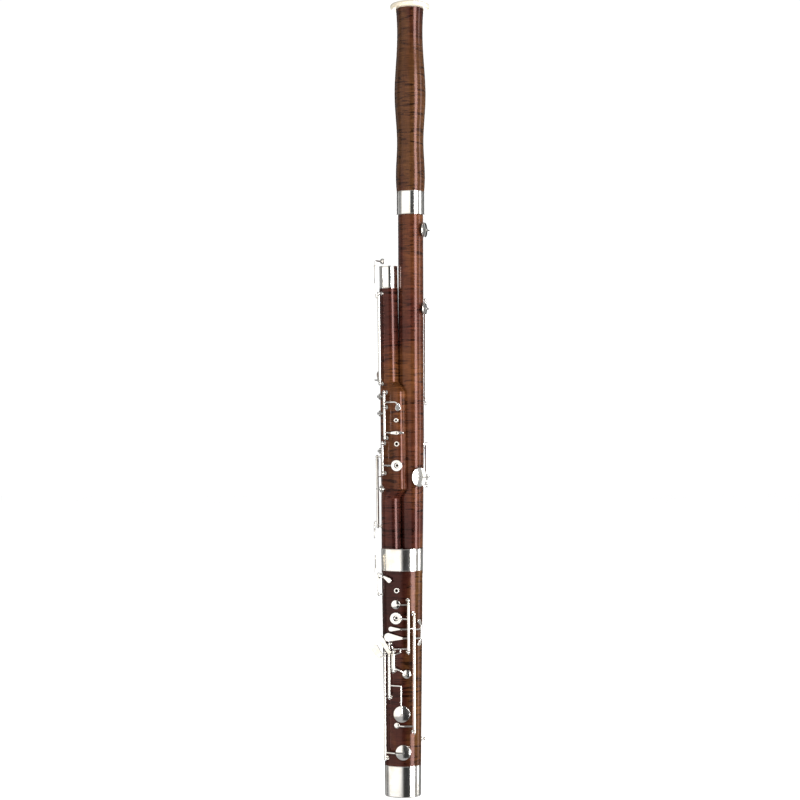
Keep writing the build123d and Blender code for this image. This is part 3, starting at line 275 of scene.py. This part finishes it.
def gasket_cork():
    """Agglomerated cork sheet."""
    material, tree, shader = new_material("gasket_cork")
    grains = tree.nodes.new("ShaderNodeTexVoronoi")
    grains.inputs["Scale"].default_value = 1.0
    tree.links.new(coordinates(tree, (700, 700, 700)), grains.inputs["Vector"])
    stops = [(0.1, (0.36, 0.22, 0.11)), (0.8, (0.10, 0.05, 0.02))]
    grain_tone = ramp(tree, grains.outputs["Distance"], stops)
    tone = mix(tree, 0.6, grain_tone, grains.outputs["Color"], "SOFT_LIGHT")
    tree.links.new(tone, shader.inputs["Base Color"])
    tree.links.new(spread(tree, grains.outputs["Distance"], 0.7, 0.95), shader.inputs["Roughness"])
    bump(tree, shader, grains.outputs["Distance"], 0.5, 0.0003)
    return material


MATERIALS = {
    "stained_maple": stained_maple("stained_maple", 0.74, (0.150, 0.0520, 0.0150)),
    "boot_maple": stained_maple("boot_maple", 0.50, (0.185, 0.0780, 0.0180)),
    "bell_maple": stained_maple("bell_maple", 0.52, (0.150, 0.0620, 0.0200)),
    "silver_plate": polished_metal("silver_plate", (0.93, 0.915, 0.885), (0.74, 0.69, 0.60), 0.13, 0.10),
    "ivory_ring": ivory(),
    "pad_leather": pad_leather(),
    "tenon_thread": tenon_thread(),
    "gasket_cork": gasket_cork(),
    "steel": polished_metal("steel", (0.62, 0.63, 0.65), (0.34, 0.34, 0.36), 0.24, 0.25),
    "brass_tube": polished_metal("brass_tube", (0.80, 0.60, 0.26), (0.36, 0.22, 0.09), 0.22, 0.20),
    "blued_steel": polished_metal("blued_steel", (0.10, 0.14, 0.26), (0.05, 0.06, 0.10), 0.25, 0.15),
}

NODE_FINISH = {"boot_body": "boot_maple", "bell_body": "bell_maple"}
for entry in RECORD["subparts"]:
    node = NODES[entry["node"]]
    node.data.materials.clear()
    node.data.materials.append(MATERIALS[NODE_FINISH.get(entry["node"], entry["material_slot"])])


# ---------------------------------------------------------------- reading shapes off the frame
TUBE_BORE = 0.00125
TUBE_END = 0.0001
TUBE_MOST = 0.0036


def key_joints():
    """Every key's hinge."""
    return [joint for joint in frame["joints"] if joint["type"] == "hinge"]


def hinge_line(joint):
    """A point on the hinge and its direction."""
    return Vector(joint["pos_m"]), Vector(joint["axis"]).normalized()


def tube_shape(joint):
    """How far the key's tube reaches along its hinge, and its outer radius."""
    point, axis = hinge_line(joint)
    reach, radius = [], 0.0
    for vertex in NODES[joint["child"]].data.vertices:
        offset = vertex.co - point
        along = offset.dot(axis)
        distance = (offset - axis * along).length
        if distance < TUBE_BORE:
            reach.append(along)
    low, high = min(reach), max(reach)
    for vertex in NODES[joint["child"]].data.vertices:
        offset = vertex.co - point
        along = offset.dot(axis)
        if abs(along - low) < TUBE_END or abs(along - high) < TUBE_END:
            distance = (offset - axis * along).length
            if distance < TUBE_MOST:
                radius = max(radius, distance)
    return low, high, radius


def disc_shape(node):
    """The middle, outward direction, radius and thickness of a round pad."""
    mesh = NODES[node].data
    flat = max(mesh.polygons, key=lambda face: face.area)
    normal = flat.normal.copy()
    middle = sum((v.co for v in mesh.vertices), Vector()) / len(mesh.vertices)
    heights = [(v.co - middle).dot(normal) for v in mesh.vertices]
    flattened = [v.co - middle - normal * height for v, height in zip(mesh.vertices, heights)]
    return middle, normal, max(offset.length for offset in flattened), max(heights) - min(heights)


# ---------------------------------------------------------------- added pieces
BEAD = 0.0007
OVAL_SINK = BEAD * 0.6
ROUND_SINK = BEAD * 0.3
BAND_SLICE = 0.0025
OVAL_STEPS = 96
UP = Vector((0, 0, 1))


def finish_piece(mesh_builder, name, body, slot):
    """Turn a bmesh into a smooth-shaded piece that rides on a body."""
    mesh = bpy.data.meshes.new(name)
    bmesh.ops.recalc_face_normals(mesh_builder, faces=mesh_builder.faces)
    mesh_builder.to_mesh(mesh)
    mesh_builder.free()
    for face in mesh.polygons:
        face.use_smooth = True
    mesh.materials.append(MATERIALS[slot])
    piece = bpy.data.objects.new(name, mesh)
    SCENE.collection.objects.link(piece)
    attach(piece, body)


def bridge_rings(builder, near, far):
    """Faces between two rings with the same number of points."""
    for place in range(len(near)):
        after = (place + 1) % len(near)
        builder.faces.new((near[place], near[after], far[after], far[place]))


def lathe(builder, origin, axis, profile, steps=40):
    """Turn a closed profile of (radius, height) points round an axis."""
    axis = axis.normalized()
    side = axis.orthogonal().normalized()
    other = axis.cross(side)
    rings = []
    for step in range(steps):
        angle = 2 * pi * step / steps
        radial = side * cos(angle) + other * sin(angle)
        points = [origin + radial * radius + axis * height for radius, height in profile]
        rings.append([builder.verts.new(point) for point in points])
    for step in range(steps):
        bridge_rings(builder, rings[step], rings[(step + 1) % steps])


def bead_profile(radius, height, size, points=10):
    """A round bead's section, centred on a radius and a height."""
    turns = [2 * pi * k / points for k in range(points)]
    return [(radius + size * cos(turn), height + size * sin(turn)) for turn in turns]


def oval_bead(name, body, node, height, size, slot, inset=0.0):
    """A round bead lying on an oval band at a height, sunk in by inset."""
    mesh = NODES[node].data
    near = [v.co for v in mesh.vertices if abs(v.co.z - height) < BAND_SLICE]
    half_width = max(abs(p.x) for p in near) - inset
    half_depth = max(abs(p.y) for p in near) - inset
    builder = bmesh.new()
    rings = []
    for step in range(OVAL_STEPS):
        angle = 2 * pi * step / OVAL_STEPS
        centre = Vector((half_width * cos(angle), half_depth * sin(angle), height))
        outward = Vector((cos(angle) / half_width, sin(angle) / half_depth, 0)).normalized()
        points = [centre + outward * reach + UP * rise for reach, rise in bead_profile(0, 0, size)]
        rings.append([builder.verts.new(point) for point in points])
    for step in range(OVAL_STEPS):
        bridge_rings(builder, rings[step], rings[(step + 1) % OVAL_STEPS])
    finish_piece(builder, name, body, slot)


def round_bead(name, body, origin, axis, radius, height, size, slot):
    """A round bead lying on a round band."""
    builder = bmesh.new()
    lathe(builder, origin, axis, bead_profile(radius, height, size), steps=72)
    finish_piece(builder, name, body, slot)


cap_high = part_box("boot_cap")[1]
band_low, band_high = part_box("boot_ferrule")
oval_bead("cap_rim_bead", "boot_cap", "boot_cap", cap_high.z - BEAD, BEAD, "silver_plate", OVAL_SINK)
oval_bead("ferrule_foot_bead", "boot", "boot_ferrule", band_low.z + BEAD, BEAD, "silver_plate", OVAL_SINK)
oval_bead("ferrule_top_bead", "boot", "boot_ferrule", band_high.z - BEAD, BEAD, "silver_plate", OVAL_SINK)

bell_low, bell_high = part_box("bell_ferrule")
bell_middle = (bell_low + bell_high) / 2
bell_radius = (bell_high.x - bell_low.x) / 2
bell_foot = Vector((bell_middle.x, bell_middle.y, 0))
for label, height in (("foot", bell_low.z + BEAD), ("top", bell_high.z - BEAD)):
    round_bead(
        f"bell_band_{label}_bead",
        "bell",
        bell_foot,
        UP,
        bell_radius - ROUND_SINK,
        height,
        BEAD,
        "silver_plate",
    )

receiver = next(m for m in RECORD["mounts"] if m["name"] == "bocal_receiver")
wing_axis = Vector(receiver["axis"]).normalized()
wing_point = Vector(receiver["pos_m"])
wing_low, wing_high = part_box("wing_ferrule")
wing_radius = (wing_high.y - wing_low.y) / 2
for label, height in (("foot", wing_low.z + 2 * BEAD), ("top", wing_high.z - 2 * BEAD)):
    round_bead(
        f"wing_band_{label}_bead",
        "wing",
        wing_point,
        wing_axis,
        wing_radius - ROUND_SINK,
        (height - wing_point.z) / wing_axis.z,
        BEAD,
        "silver_plate",
    )


COLLARS = ((0.0009, 0.00055), (0.0030, 0.00035))


def add_collars(joint):
    """Turned collars at both ends of a key's tube."""
    point, axis = hinge_line(joint)
    low, high, radius = tube_shape(joint)
    builder = bmesh.new()
    for end, way in ((low, 1), (high, -1)):
        for offset, size in COLLARS:
            lathe(builder, point, axis, bead_profile(radius, end + way * offset, size), steps=28)
    finish_piece(builder, f"{joint['child']}_collars", joint["child"], "silver_plate")


CUP_WALL = 0.0008
CUP_REACH = 1.6
PAD_SHOW = 0.0009
TRIM_SIZE = 0.0004


def add_cup_trim(key):
    """A rolled bead round a cup's skirt."""
    middle, normal, radius, thickness = disc_shape(f"{key}_pad")
    cup = NODES[key].data
    heights = [(v.co - middle).dot(normal) for v in cup.vertices if (v.co - middle).length < radius * CUP_REACH]
    if abs(min(heights)) > abs(max(heights)):
        normal = -normal
    builder = bmesh.new()
    skirt = bead_profile(radius + CUP_WALL, PAD_SHOW - thickness / 2, TRIM_SIZE)
    lathe(builder, middle, normal, skirt, steps=48)
    finish_piece(builder, f"{key}_cup_trim", key, "silver_plate")


SPRING_RADIUS = 0.00032
SPRING_TAPER = 0.45
SPRING_BOW = 0.0006
SPRING_LENGTH = 0.022
SPRING_SHARE = 0.7
SPRING_REST = 1.5 * SPRING_RADIUS
SPRING_PAST_TUBE = 0.0025
SPRING_BEHIND_HINGE = 0.0018
SPRING_STEPS = 10
SPRING_SIDES = 8


def section_centre(section, height):
    """Where a section's middle line is at a height."""
    if section == "wing":
        return wing_point + wing_axis * ((height - wing_point.z) / wing_axis.z)
    if section == "bass":
        return Vector((bell_middle.x, 0, height))
    return Vector((0, 0, height))


def add_spring(joint):
    """A blued needle spring under a key's tube, fixed in a post and bearing on the key."""
    point, axis = hinge_line(joint)
    low, high, radius = tube_shape(joint)
    section = joint["parent"]
    centre = section_centre(section, point.z)
    inward = centre - point
    inward = (inward - axis * inward.dot(axis)).normalized()
    side = axis.cross(inward)
    start = point + axis * (high + SPRING_PAST_TUBE) + inward * SPRING_BEHIND_HINGE
    length = min(SPRING_LENGTH, (high - low) * SPRING_SHARE)
    end = point + axis * (high - length) + inward * (radius + SPRING_REST)
    turns = [2 * pi * k / SPRING_SIDES for k in range(SPRING_SIDES)]
    around = [inward * cos(turn) + side * sin(turn) for turn in turns]
    builder = bmesh.new()
    rings = []
    for step in range(SPRING_STEPS + 1):
        share = step / SPRING_STEPS
        place = start.lerp(end, share) + inward * SPRING_BOW * sin(pi * share)
        thickness = SPRING_RADIUS * (1.0 - SPRING_TAPER * share)
        rings.append([builder.verts.new(place + outward * thickness) for outward in around])
    for near, far in zip(rings, rings[1:]):
        bridge_rings(builder, near, far)
    builder.faces.new(rings[0])
    builder.faces.new(rings[-1])
    finish_piece(builder, f"{joint['child']}_spring", section, "blued_steel")


for joint in key_joints():
    add_collars(joint)
    add_spring(joint)
    if f"{joint['child']}_pad" in NODES:
        add_cup_trim(joint["child"])


GUIDE_RADIUS = 0.0024
GUIDE_RISE = 0.0080
GUIDE_LENGTH = 0.0310
GUIDE_END = 0.0006
GUIDE_COLLAR = 0.0030
GUIDE_BORE = 0.0010
GUIDE_WAIST = GUIDE_RADIUS * 0.8
KNOB_RISE = 0.0430
KNOB_NEIGHBOURHOOD = 0.045
KNOB_OUTLINE = (
    (0.0002, -0.0015),
    (0.0034, -0.0015),
    (0.0034, 0.0009),
    (0.0014, 0.0014),
    (0.0013, 0.0030),
    (0.0022, 0.0036),
    (0.0027, 0.0050),
    (0.0021, 0.0064),
    (0.0002, 0.0069),
)


def add_whisper_guide():
    """The turned sleeve on the whisper key's long arm, beside the wing joint's band."""
    foot_height = wing_low.z + GUIDE_RISE
    beside = [v.co for v in NODES["whisper_key"].data.vertices if v.co.z > wing_low.z]
    leftmost = min(p.x for p in beside)
    arm = [p for p in beside if p.x < leftmost + GUIDE_RADIUS]
    middle = sum(arm, Vector()) / len(arm)
    builder = bmesh.new()
    neck = GUIDE_COLLAR + GUIDE_END
    profile = [
        (GUIDE_BORE, 0.0),
        (GUIDE_RADIUS, GUIDE_END),
        (GUIDE_RADIUS, GUIDE_COLLAR),
        (GUIDE_WAIST, neck),
        (GUIDE_WAIST, GUIDE_LENGTH - neck),
        (GUIDE_RADIUS, GUIDE_LENGTH - GUIDE_COLLAR),
        (GUIDE_RADIUS, GUIDE_LENGTH - GUIDE_END),
        (GUIDE_BORE, GUIDE_LENGTH),
    ]
    lathe(builder, Vector((middle.x, middle.y, foot_height)), wing_axis, profile, steps=28)
    finish_piece(builder, "whisper_key_guide", "whisper_key", "silver_plate")


def add_side_knob():
    """The small turned knob low on the boot's right edge."""
    height = cap_high.z + KNOB_RISE
    near = [v.co for v in NODES["boot_body"].data.vertices if abs(v.co.z - height) < KNOB_NEIGHBOURHOOD]
    edge = max(p.x for p in near)
    builder = bmesh.new()
    lathe(builder, Vector((edge, 0, height)), Vector((1, 0, 0)), KNOB_OUTLINE, steps=32)
    finish_piece(builder, "boot_side_knob", "boot", "silver_plate")


add_whisper_guide()
add_side_knob()


# ---------------------------------------------------------------- floor, light and camera
def pale_floor():
    """A plain pale floor whose lit surface runs into the white surroundings."""
    material, tree, shader = new_material("pale_floor")
    speckle = noise(tree, coordinates(tree, (3, 3, 3)), 1.0, detail=6)
    tone = ramp(tree, speckle, [(0.3, grey(0.86)), (0.7, grey(0.90))])
    tree.links.new(tone, shader.inputs["Base Color"])
    tree.links.new(spread(tree, speckle, 0.75, 0.9), shader.inputs["Roughness"])
    shader.inputs["Emission Color"].default_value = (1.0, 1.0, 1.0, 1.0)
    shader.inputs["Emission Strength"].default_value = FLOOR_LIFT
    return material


def plane(name, width, height, matrix, material):
    """A flat staged rectangle."""
    mesh = bpy.data.meshes.new(name)
    corners = [(x * width / 2, y * height / 2, 0) for x, y in ((-1, -1), (1, -1), (1, 1), (-1, 1))]
    mesh.from_pydata(corners, [], [(0, 1, 2, 3)])
    mesh.materials.append(material)
    staged = bpy.data.objects.new(name, mesh)
    staged.matrix_world = matrix
    SCENE.collection.objects.link(staged)
    return staged


def facing(azimuth, distance, height):
    """A matrix for something that stands at an azimuth right of the camera and faces the object."""
    angle = radians(azimuth)
    place = Vector((distance * sin(angle), -distance * cos(angle), height))
    toward = Vector((-place.x, -place.y, 0))
    return Matrix.Translation(place) @ toward.to_track_quat("-Z", "Y").to_matrix().to_4x4()


def softbox(name, azimuth, distance, height, width, tall, power, colour):
    """A soft rectangular light that the camera doesn't see."""
    data = bpy.data.lights.new(name, "AREA")
    data.shape = "RECTANGLE"
    data.size = width
    data.size_y = tall
    data.energy = power
    data.color = colour
    lamp = bpy.data.objects.new(name, data)
    lamp.matrix_world = facing(azimuth, distance, height)
    lamp.visible_camera = False
    SCENE.collection.objects.link(lamp)


def flag(name, azimuth, distance, height, width, tall):
    """A dark studio flag that is seen only in reflections."""
    material, tree, shader = new_material(name)
    weave = noise(tree, coordinates(tree, (90, 90, 90)), 1.0)
    cloth = ramp(tree, weave, [(0.3, grey(0.012)), (0.7, grey(0.03))])
    tree.links.new(cloth, shader.inputs["Base Color"])
    shader.inputs["Roughness"].default_value = 0.9
    card = plane(name, width, tall, facing(azimuth, distance, height), material)
    card.visible_camera = False
    card.visible_diffuse = False
    card.visible_shadow = False


def white_studio():
    """White surroundings that light the object a little less than they show."""
    world = bpy.data.worlds.new("studio")
    world.use_nodes = True
    tree = world.node_tree
    path = tree.nodes.new("ShaderNodeLightPath")
    background = tree.nodes["Background"]
    background.inputs["Color"].default_value = (1.0, 1.0, 1.0, 1.0)
    strength = spread(tree, path.outputs["Is Camera Ray"], STUDIO_LIGHT, STUDIO_SHOWN)
    tree.links.new(strength, background.inputs["Strength"])
    return world


FLOOR_SIZE = 16
FLOOR_DROP = 0.0002
FLOOR_LIFT = 0.62
floor = plane("studio_floor", FLOOR_SIZE, FLOOR_SIZE, Matrix.Translation((0, 0, -FLOOR_DROP)), pale_floor())
floor.visible_glossy = False

STUDIO_LIGHT = 0.42
STUDIO_SHOWN = 1.05
SCENE.world = white_studio()
SCENE.view_settings.view_transform = "Standard"

# name, degrees right of the camera, distance, height, width, tallness, watts, colour
SOFTBOXES = (
    ("key_softbox", 45, 3.2, 0.7, 1.15, 3.4, 165, (1, 1, 1)),
    ("left_softbox", -42, 3.0, 0.7, 4.6, 3.4, 46, (1.0, 0.96, 0.90)),
    ("right_softbox", 88, 3.0, 0.7, 0.6, 3.0, 24, (1, 1, 1)),
    ("rear_softbox", 180, 3.2, 0.8, 1.2, 3.0, 22, (1, 1, 1)),
)
# name, degrees right of the camera, distance, width
FLAGS = (
    ("front_flag", 17, 2.9, 1.7),
    ("right_flag", 116, 3.0, 0.5),
    ("left_flag", -100, 3.0, 0.4),
    ("rear_right_flag", 150, 3.0, 1.7),
    ("rear_left_flag", 210, 3.0, 1.7),
)
FLAG_HEIGHT = 0.4
FLAG_TALL = 5.4
for light in SOFTBOXES:
    softbox(*light)
for name, azimuth, distance, width in FLAGS:
    flag(name, azimuth, distance, FLAG_HEIGHT, width, FLAG_TALL)

CAMERA_DISTANCE = 2.5
CAMERA_SIDE = -0.0026
CAMERA_ROLL = 0.23
MIDDLE_HEIGHT = 0.67
FIELD_WIDTH = 1.3565
SENSOR = 36.0
camera_data = bpy.data.cameras.new("camera")
camera_data.sensor_width = SENSOR
camera_data.lens = SENSOR * CAMERA_DISTANCE / FIELD_WIDTH
camera = bpy.data.objects.new("camera", camera_data)
camera.location = (CAMERA_SIDE, -CAMERA_DISTANCE, MIDDLE_HEIGHT)
camera.rotation_euler = (radians(90), radians(CAMERA_ROLL), 0)
SCENE.collection.objects.link(camera)
SCENE.camera = camera
